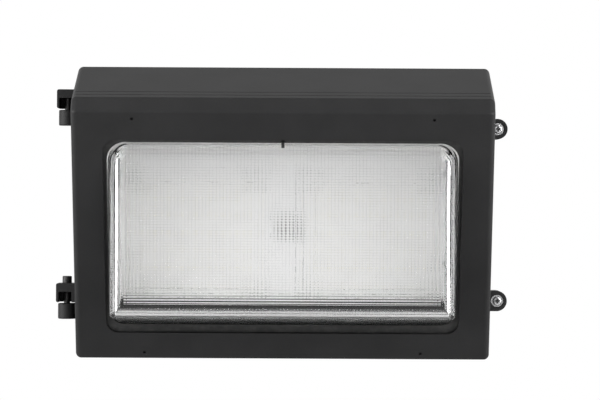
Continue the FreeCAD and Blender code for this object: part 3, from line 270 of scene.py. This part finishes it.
# ---- Hinge pins and the glass's centre clip ------------------------------------------------------
# Steel with a black oxide. The pins are pressed into the housing's barrels and the door's brackets turn
# on them; the clip is a bent tongue at the head of the window.
oxide = new_finish("black_oxide_steel")
tree = oxide.node_tree
scuff = spots(tree, 0.0012, 4.0, 0.6)
colour = blend_colour(tree, scuff.ramp(0.35, 0.75), (0.012, 0.012, 0.013), (0.040, 0.038, 0.036))
close_finish(oxide, {
    "Base Color": colour,
    "Metallic": 0.6,
    "Roughness": 0.35 + 0.2 * scuff,
    "Normal": bump(tree, scuff, 0.00002, 0.5),
})
dress(oxide, "upper_hinge_pin", "lower_hinge_pin", "lens_centre_clip")


# ---- Door screws ------------------------------------------------------------------------------------
# Two captive pan-head screws with a cross recess and their washers, bright nickel-plated steel. The
# recess is painted dark, matt and less metallic: painted shade for the shadow inside it.
RECESS_RADII = (0.0021, 0.0024)
RECESS_DEPTHS = (0.0002, 0.0007)

plate = new_finish("bright_plating")
tree = plate.node_tree
haze = spots(tree, 0.0008, 3.0, 0.6)
shine = blend_colour(tree, haze, (0.66, 0.66, 0.67), (0.80, 0.80, 0.81))
spot = make(tree, "ShaderNodeTexCoord", {}, {})[OBJECT_SPOT]
across, depth, height = make(tree, "ShaderNodeSeparateXYZ", {}, {0: spot})
low_corner, high_corner = (Vector(corner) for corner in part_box("lower_door_screw"))
lower_axis = (low_corner + high_corner) / 2
low_corner, high_corner = (Vector(corner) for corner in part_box("upper_door_screw"))
upper_axis = (low_corner + high_corner) / 2
rise = (height - upper_axis.z).size().least((height - lower_axis.z).size())
run = across - upper_axis.x
radius = (run * run + rise * rise).root()
# Painted shade: inside the cross recess the colour goes dark, the metal dull and the gloss rough,
# standing in for its shadow.
under_face = (depth - low_corner.y).ramp(*RECESS_DEPTHS)
painted_recess_shade = (1.0 - radius.ramp(*RECESS_RADII)) * under_face
close_finish(plate, {
    "Base Color": blend_colour(tree, painted_recess_shade, shine, (0.05, 0.05, 0.05)),
    "Metallic": 1.0 - 0.6 * painted_recess_shade,
    "Roughness": 0.14 + 0.12 * haze + 0.3 * painted_recess_shade,
    "Normal": bump(tree, haze, 0.00001, 0.4),
})
dress(plate, "upper_door_screw", "lower_door_screw", "upper_screw_washer", "lower_screw_washer")


# ---- Small steel fasteners ------------------------------------------------------------------------
# Zinc-plated machine screws inside the light, and the six clips of bent steel sheet that hold the
# glass's flange against its seal.
zinc = new_finish("zinc_plated_steel")
tree = zinc.node_tree
spangle = spots(tree, 0.0015, 3.0, 0.65)
colour = blend_colour(tree, spangle.ramp(0.3, 0.7), (0.42, 0.43, 0.44), (0.62, 0.62, 0.60))
close_finish(zinc, {
    "Base Color": colour,
    "Metallic": 1.0,
    "Roughness": 0.3 + 0.2 * spangle,
    "Normal": bump(tree, spangle, 0.00002, 0.4),
})
dress(zinc, "heat_plate_screws", "led_board_screws", "reflector_screws", "driver_screws",
      "lens_clips", "lens_clip_screws")


# ---- Seals and grommet ---------------------------------------------------------------------------
# Black silicone, extruded for the rim and cut from sheet for the glass. The O-rings on the plugs and
# the grommet for the driver's lead are moulded.
silicone = new_finish("black_silicone")
tree = silicone.node_tree
bloom = spots(tree, 0.004, 3.0, 0.6)
colour = blend_colour(tree, bloom.ramp(0.3, 0.8), (0.010, 0.010, 0.010), (0.026, 0.026, 0.025))
close_finish(silicone, {
    "Base Color": colour,
    "Roughness": 0.55 + 0.2 * bloom,
    "Specular IOR Level": 0.3,
    "Normal": bump(tree, bloom, 0.00003, 0.5),
})
dress(silicone, "door_seal", "lens_seal", "conduit_plug_o_rings", "lead_grommet")


# ---- Heat plate and driver ------------------------------------------------------------------------
# The driver's folded case is mill-finish aluminium sheet, brushed along X by the rolling. The flat
# plate that carries the boards has the same grain under a black anodised layer.
mill = new_finish("mill_finish_aluminium")
tree = mill.node_tree
streak = spots(tree, 0.0006, 3.0, 0.6, (0.04, 1.0, 1.0))
colour = blend_colour(tree, streak.ramp(0.3, 0.7), (0.55, 0.55, 0.56), (0.70, 0.70, 0.70))
close_finish(mill, {
    "Base Color": colour,
    "Metallic": 1.0,
    "Roughness": 0.34 + 0.16 * streak,
    "Normal": bump(tree, streak, 0.00001, 0.5),
})
dress(mill, "driver_case", "driver_cover")

anodised = new_finish("black_anodised_aluminium")
tree = anodised.node_tree
streak = spots(tree, 0.0006, 3.0, 0.6, (0.04, 1.0, 1.0))
colour = blend_colour(tree, streak.ramp(0.3, 0.7), (0.012, 0.012, 0.012), (0.022, 0.022, 0.022))
close_finish(anodised, {
    "Base Color": colour,
    "Metallic": 0.3,
    "Roughness": 0.45 + 0.15 * streak,
    "Normal": bump(tree, streak, 0.00001, 0.5),
})
dress(anodised, "heat_plate")


# ---- Reflector -------------------------------------------------------------------------------------
# Folded sheet, painted satin white, which lines the space behind the glass and is screwed to the
# plate round the boards.
paint = new_finish("white_reflector_paint")
tree = paint.node_tree
peel = spots(tree, 0.002, 2.0, 0.5)
colour = blend_colour(tree, peel, (0.88, 0.88, 0.875), (0.92, 0.92, 0.915))
close_finish(paint, {
    "Base Color": colour,
    "Roughness": 0.4 + 0.1 * peel,
    "Normal": bump(tree, peel, 0.00002, 0.4),
})
dress(paint, "reflector")


# ---- LED boards -------------------------------------------------------------------------------------
# Two metal-core boards with a white solder mask and rows of phosphor chips, screwed to the plate. The
# lead's connector between them is moulded in grey plastic.
mask_white = new_finish("white_solder_mask")
tree = mask_white.node_tree
ink = spots(tree, 0.003, 2.0, 0.5)
colour = blend_colour(tree, ink, (0.88, 0.88, 0.87), (0.91, 0.91, 0.90))
close_finish(mask_white, {
    "Base Color": colour,
    "Roughness": 0.35 + 0.1 * ink,
    "Normal": bump(tree, ink, 0.00002, 0.4),
})
dress(mask_white, "left_led_board", "right_led_board")

phosphor = new_finish("phosphor")
tree = phosphor.node_tree
powder = spots(tree, 0.0008, 2.0, 0.5)
colour = blend_colour(tree, powder, (0.84, 0.82, 0.70), (0.88, 0.86, 0.76))
close_finish(phosphor, {
    "Base Color": colour,
    "Roughness": 0.4 + 0.1 * powder,
    "Normal": bump(tree, powder, 0.00002, 0.4),
})
dress(phosphor, "led_chips")

moulded = new_finish("grey_moulded_plastic")
tree = moulded.node_tree
spark = spots(tree, 0.0005, 2.0, 0.5)
colour = blend_colour(tree, spark, (0.20, 0.20, 0.20), (0.26, 0.26, 0.255))
close_finish(moulded, {
    "Base Color": colour,
    "Roughness": 0.45 + 0.15 * spark,
    "Normal": bump(tree, spark, 0.00003, 0.5),
})
dress(moulded, "led_connector")


# ---- Wiring ----------------------------------------------------------------------------------------
# The driver's insulated leads and the twist-on orange connectors at their ends. The earth screw has a
# green chromate finish and stands in a boss of the housing.
insulation = new_finish("lead_insulation")
tree = insulation.node_tree
scuff = spots(tree, 0.002, 2.0, 0.5)
colour = blend_colour(tree, scuff, (0.030, 0.030, 0.032), (0.055, 0.055, 0.058))
close_finish(insulation, {
    "Base Color": colour,
    "Roughness": 0.4 + 0.15 * scuff,
    "Normal": bump(tree, scuff, 0.00003, 0.4),
})
dress(insulation, "driver_input_leads", "driver_output_lead")

orange = new_finish("orange_moulded_plastic")
tree = orange.node_tree
spark = spots(tree, 0.001, 2.0, 0.5)
colour = blend_colour(tree, spark, (0.72, 0.20, 0.02), (0.82, 0.27, 0.04))
close_finish(orange, {
    "Base Color": colour,
    "Roughness": 0.4 + 0.15 * spark,
    "Normal": bump(tree, spark, 0.00003, 0.4),
})
dress(orange, "wire_nuts")

chromate = new_finish("green_chromate")
tree = chromate.node_tree
spark = spots(tree, 0.001, 2.0, 0.5)
colour = blend_colour(tree, spark, (0.02, 0.20, 0.06), (0.04, 0.28, 0.09))
close_finish(chromate, {
    "Base Color": colour,
    "Metallic": 0.7,
    "Roughness": 0.3 + 0.15 * spark,
    "Normal": bump(tree, spark, 0.00003, 0.4),
})
dress(chromate, "ground_screw")


# ---- Pressed glass ----------------------------------------------------------------------------------
# One pressed tray of clear glass, 4 mm thick, whose flange lies on its seal in the door. Upright ribs on
# its outside and level ribs on its inside cross in a fine grid, plain in a band round the edges.
MM = 0.001
FOLD_Y, FOLD_Z, CHIN_Y, BOTTOM_Z = -184.0, 77.6, -104.0, -116.0
FACE_LEAN = math.atan2(CHIN_Y - FOLD_Y, FOLD_Z - BOTTOM_Z)
SEAT, BACK, THICK = -5.2, -9.2, 4.0
FLANGE_HALF, FLANGE_TOP, FLANGE_BOTTOM, FLANGE_CORNER = 147.0, 15.7, 194.97, 17.5
BASE_HALF, FRONT_HALF = 136.7, 134.3
TOP, BOTTOM = 26.8, 180.98
BROW = (-TOP - 0.5, 1.0)
CHIN = (-BOTTOM + 26.7, 44.0)
BEND, BEND_STEPS = 6.0, 6
UPPER_CORNER, LOWER_CORNER, CHIN_CORNER, LEAST_CORNER = 15.0, 12.0, 2.5, 0.8
SIDE_COUNT = 240
RIB_PITCH, RIB_RADIUS, RIB_STEPS = 2.7, 5.0, 6
RIB_MARGIN, RIB_EDGE = 0.3, 0.08
RIB_FADE = (0.1, 1.2)
RIB_START, RIB_FULL, RIB_START_SHARE = 0.6, 1.5, 0.3
HEAD_BAND, HEAD_FADE = 1.0, 1.0
LEVEL_PITCH, LEVEL_RADIUS, LEVEL_STEPS = 2.0, 4.0, 6
LEVEL_MARGIN, LEVEL_HEAD_MARGIN, LEVEL_SIDE_FADE, LEVEL_END_FADE = 0.6, 4.0, 0.8, 1.0


def scallop(distance, pitch, radius):
    """Depth of a round rib's flank under its crest."""
    offset = (distance / pitch) % 1.0 - 0.5
    return radius - math.sqrt(radius ** 2 - (offset * pitch) ** 2)


def fade(value, low, high):
    """0 below one value, 1 above another, smooth between."""
    t = min(max((value - low) / (high - low), 0.0), 1.0)
    return t * t * (3.0 - 2.0 * t)


def in_object(x, up, out):
    """Point of the face's own axes, in the light's axes and metres."""
    sine, cosine = math.sin(FACE_LEAN), math.cos(FACE_LEAN)
    y = FOLD_Y - up * sine - out * cosine
    z = FOLD_Z + up * cosine - out * sine
    return Vector((x * MM, y * MM, z * MM))


def tray_levels(inset, depth):
    """Levels from the seat to the front: low and high ends, half width and corner radii."""
    low = Vector((-BOTTOM, SEAT))
    high = Vector((-TOP, SEAT))
    brow = Vector(BROW)
    chin = Vector(CHIN)
    corners = [low, high, brow, chin]
    shifts = [-depth, inset, inset, inset]
    lines = []
    for index in range(4):
        start, end = corners[index], corners[(index + 1) % 4]
        run = (end - start).normalized()
        inward = Vector((-run.y, run.x))
        lines.append((start + inward * shifts[index], run))
    moved = []
    for index in range(4):
        (p, d), (q, e) = lines[index - 1], lines[index]
        slant = d.x * e.y - d.y * e.x
        t = ((q.x - p.x) * e.y - (q.y - p.y) * e.x) / slant
        moved.append(p + d * t)
    low, high, brow, chin = moved
    levels = [(low, high, BASE_HALF - inset, LOWER_CORNER - inset, UPPER_CORNER - inset)]
    for step in range(BEND_STEPS):
        angle = math.pi / 2 * step / (BEND_STEPS - 1)
        short = BEND * (1 - math.sin(angle))
        inward = BEND * (1 - math.cos(angle))
        sill = chin + (low - chin).normalized() * short + (brow - chin).normalized() * inward
        head = brow + (high - brow).normalized() * short + (chin - brow).normalized() * inward
        low_radius = max(CHIN_CORNER - inset - inward, LEAST_CORNER)
        high_radius = UPPER_CORNER - inset - inward
        levels.append((sill, head, FRONT_HALF - inset - inward, low_radius, high_radius))
    return levels


outer = tray_levels(0.0, 0.0)
inner = tray_levels(THICK, THICK)
front_low, front_high, front_half, front_low_radius, front_high_radius = outer[-1]
rib_step = RIB_PITCH / RIB_STEPS
rib_count = int((front_half - RIB_MARGIN) / rib_step)
ribs_x = [i * rib_step for i in range(-rib_count, rib_count + 1)]
ribs_x = [-front_half, -front_half + RIB_EDGE] + ribs_x + [front_half - RIB_EDGE, front_half]
sides = [(i + 1) / (SIDE_COUNT + 1) for i in range(SIDE_COUNT)]


def ring_points(low, high, half, low_radius, high_radius):
    """Outline of one level of the tray: head, right side, sill and left side."""
    rise = Vector(high) - Vector(low)
    length = rise.length
    unit = rise / length

    def edge(x, radius, front_radius):
        """Place on the level for a rib's x on the front: across, and drop at the rounded corner."""
        straight = half - radius
        front_straight = front_half - front_radius
        if abs(x) <= front_straight:
            return x * straight / front_straight, 0.0
        sine = min((abs(x) - front_straight) / front_radius, 1.0)
        return math.copysign(straight + radius * sine, x), radius * (1.0 - math.sqrt(1.0 - sine ** 2))

    head, sill = [], []
    for x in ribs_x:
        across, drop = edge(x, high_radius, front_high_radius)
        head.append((across, length - drop))
        sill.append(edge(x, low_radius, front_low_radius))
    span = [low_radius + (length - high_radius - low_radius) * t for t in sides]
    right = [(half, along) for along in reversed(span)]
    left = [(-half, along) for along in span]
    base = Vector(low)
    return [(x, base.x + unit.x * along, base.y + unit.y * along)
            for x, along in head + right + sill[::-1] + left]


ribbed = bmesh.new()


def add_ring(*level):
    return [ribbed.verts.new(in_object(*point)) for point in ring_points(*level)]


def join(first, second):
    total = len(first)
    for i in range(total):
        j = (i + 1) % total
        ribbed.faces.new((first[i], first[j], second[j], second[i]))


def tray_rings(levels):
    rings = [add_ring(*level) for level in levels]
    for first, second in zip(rings, rings[1:]):
        join(first, second)
    return rings


outer_rings = tray_rings(outer)
inner_rings = tray_rings(inner)
flange = (FLANGE_HALF, FLANGE_CORNER, FLANGE_CORNER)
flange_front = add_ring((-FLANGE_BOTTOM, SEAT), (-FLANGE_TOP, SEAT), *flange)
flange_back = add_ring((-FLANGE_BOTTOM, BACK), (-FLANGE_TOP, BACK), *flange)
join(flange_back, flange_front)
join(flange_front, outer_rings[0])
join(inner_rings[0], flange_back)

# Outside of the front: upright ribs, plain within the head's smooth band
rise = (front_high - front_low).normalized()
length = (front_high - front_low).length
out_way = Vector((-rise.y, rise.x))
if out_way.y < 0:
    out_way = -out_way
count_x = len(ribs_x)
head_ring = outer_rings[-1][:count_x]
sill_ring = outer_rings[-1][count_x + SIDE_COUNT:2 * count_x + SIDE_COUNT][::-1]
right_ring = outer_rings[-1][count_x:count_x + SIDE_COUNT][::-1]
left_ring = outer_rings[-1][2 * count_x + SIDE_COUNT:]


def arc_drop(x, radius):
    over = abs(x) - (front_half - radius)
    return radius - math.sqrt(max(radius ** 2 - over ** 2, 0.0)) if over > 0 else 0.0


strips = []
for index, x in enumerate(ribs_x):
    bottom_at = arc_drop(x, front_low_radius)
    top_at = length - arc_drop(x, front_high_radius)
    full = scallop(x + RIB_PITCH / 2, RIB_PITCH, RIB_RADIUS) * fade(front_half - abs(x), *RIB_FADE)
    column = [sill_ring[index]]
    for along, share in ((bottom_at + RIB_START, RIB_START_SHARE), (bottom_at + RIB_FULL, 1.0),
                         (top_at - HEAD_BAND - HEAD_FADE, 1.0), (top_at - HEAD_BAND, 0.0)):
        point = front_low + rise * along - out_way * full * share
        column.append(ribbed.verts.new(in_object(x, point.x, point.y)))
    column.append(head_ring[index])
    strips.append(column)
for first, second in zip(strips[1:-2], strips[2:-1]):
    for row in range(len(first) - 1):
        ribbed.faces.new((first[row], second[row], second[row + 1], first[row + 1]))
ribbed.faces.new([sill_ring[0]] + left_ring + [head_ring[0]] + strips[1][::-1])
ribbed.faces.new(strips[-2] + ([sill_ring[-1]] + right_ring + [head_ring[-1]])[::-1])

# Inside of the front: level ribs on a rectangle, and a plain border round it
low, high, half = inner[-1][:3]
rise = (high - low).normalized()
in_way = Vector((rise.y, -rise.x))
if in_way.y > 0:
    in_way = -in_way
level_step = LEVEL_PITCH / LEVEL_STEPS
rows = int(((high - low).length - LEVEL_HEAD_MARGIN - LEVEL_MARGIN) / level_step)
last_at = LEVEL_MARGIN + rows * level_step
plain, ribs_end = half - LEVEL_MARGIN, half - LEVEL_MARGIN - LEVEL_SIDE_FADE
crest = LEVEL_RADIUS - math.sqrt(LEVEL_RADIUS ** 2 - (LEVEL_PITCH / 2) ** 2)
grid = []
for row in range(rows + 1):
    along = LEVEL_MARGIN + row * level_step
    share = fade(along - LEVEL_MARGIN, 0.0, LEVEL_END_FADE) * fade(last_at - along, 0.0, LEVEL_END_FADE)
    full = (crest - scallop(along, LEVEL_PITCH, LEVEL_RADIUS)) * share
    line = []
    for x, depth in ((-plain, 0.0), (-ribs_end, full), (ribs_end, full), (plain, 0.0)):
        point = low + rise * along + in_way * depth
        line.append(ribbed.verts.new(in_object(x, point.x, point.y)))
    grid.append(line)
for first, second in zip(grid, grid[1:]):
    for column in range(3):
        ribbed.faces.new((first[column], first[column + 1], second[column + 1], second[column]))
left_rim = [line[0] for line in grid]
right_rim = [line[-1] for line in grid[::-1]]
rim = left_rim + grid[-1][1:] + right_rim[1:] + grid[0][1:-1][::-1]
edges = []
for loop in (rim, inner_rings[-1]):
    for i in range(len(loop)):
        pair = (loop[i], loop[(i + 1) % len(loop)])
        edges.append(ribbed.edges.get(pair) or ribbed.edges.new(pair))
bmesh.ops.triangle_fill(ribbed, use_beauty=True, edges=edges)
bmesh.ops.recalc_face_normals(ribbed, faces=ribbed.faces)
glass_data = bpy.data.meshes.new("pressed_glass")
ribbed.to_mesh(glass_data)
ribbed.free()
pressed_glass = piece("pressed_glass", glass_data)

# Clear glass with painted shade: darker lines where one rib meets the next, stronger in some patches,
# and a grey painted shade on the walls, which are also rougher
INSIDE_FROM, INSIDE_TO = 0.0015, 0.0025
WALL_FROM, WALL_TO = 0.006, 0.010
clear_glass = new_finish("pressed_clear_glass")
tree = clear_glass.node_tree
seed = spots(tree, 0.004, 2.0, 0.5)
spot = make(tree, "ShaderNodeTexCoord", {}, {})[OBJECT_SPOT]


def distance_along(way):
    return make(tree, "ShaderNodeVectorMath", {"operation": "DOT_PRODUCT"}, {0: spot, 1: way})[1]


def valleys(way, pitch, start):
    """Thin lines across a direction, where one rib meets the next."""
    turns = (distance_along(way) + (pitch / 2 - start)) * (1.0 / pitch)
    return (turns.fraction() - 0.5).size().ramp(0.30, 0.5)


face_up = Vector((0.0, -math.sin(FACE_LEAN), math.cos(FACE_LEAN)))
face_out = Vector((0.0, -math.cos(FACE_LEAN), -math.sin(FACE_LEAN)))
upright = valleys((1.0, 0.0, 0.0), RIB_PITCH * MM, RIB_PITCH * MM / 2)
level = valleys(tuple(face_up), LEVEL_PITCH * MM, 0.0)
# Patches where the painted shade of the valley lines is stronger or weaker.
upright_shade_patches = spots(tree, 0.012, 2.0, 0.5).ramp(0.35, 0.65)
level_shade_patches = spots(tree, 0.015, 2.0, 0.5).ramp(0.35, 0.65)
front_run = (Vector(CHIN) - Vector(BROW)).normalized()
inwards = -(face_up * front_run.y - face_out * front_run.x)
behind_front = distance_along(tuple(inwards)) - in_object(0.0, *BROW).dot(inwards)
wall = behind_front.ramp(WALL_FROM, WALL_TO)
inside = behind_front.ramp(INSIDE_FROM, INSIDE_TO)
# Painted shade: the rib valleys darken the glass's colour, standing in for the dark lines its refraction
# makes; the same mask also shapes the ribs' bump.
outer_lines = upright * (0.45 + 0.55 * upright_shade_patches) * (1.0 - inside)
inner_lines = level * (0.45 + 0.55 * level_shade_patches) * inside
valley_shade_and_relief = outer_lines + inner_lines
# Painted shade: the walls of the tray are greyed in colour, standing in for the grey their refraction
# shows.
body = blend_colour(tree, wall, (1.0, 1.0, 1.0), (0.80, 0.80, 0.80))
close_finish(clear_glass, {
    "Base Color": blend_colour(tree, valley_shade_and_relief, body, (0.83, 0.83, 0.83)),
    "Roughness": 0.03 + 0.22 * wall,
    "IOR": 1.47,
    "Transmission Weight": 1.0,
    "Normal": bump(tree, seed - valley_shade_and_relief * (0.5 + 1.0 * wall), 0.00006, 0.6),
})
pressed_glass.data.materials.append(clear_glass)
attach(pressed_glass, "door")
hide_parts("lens")
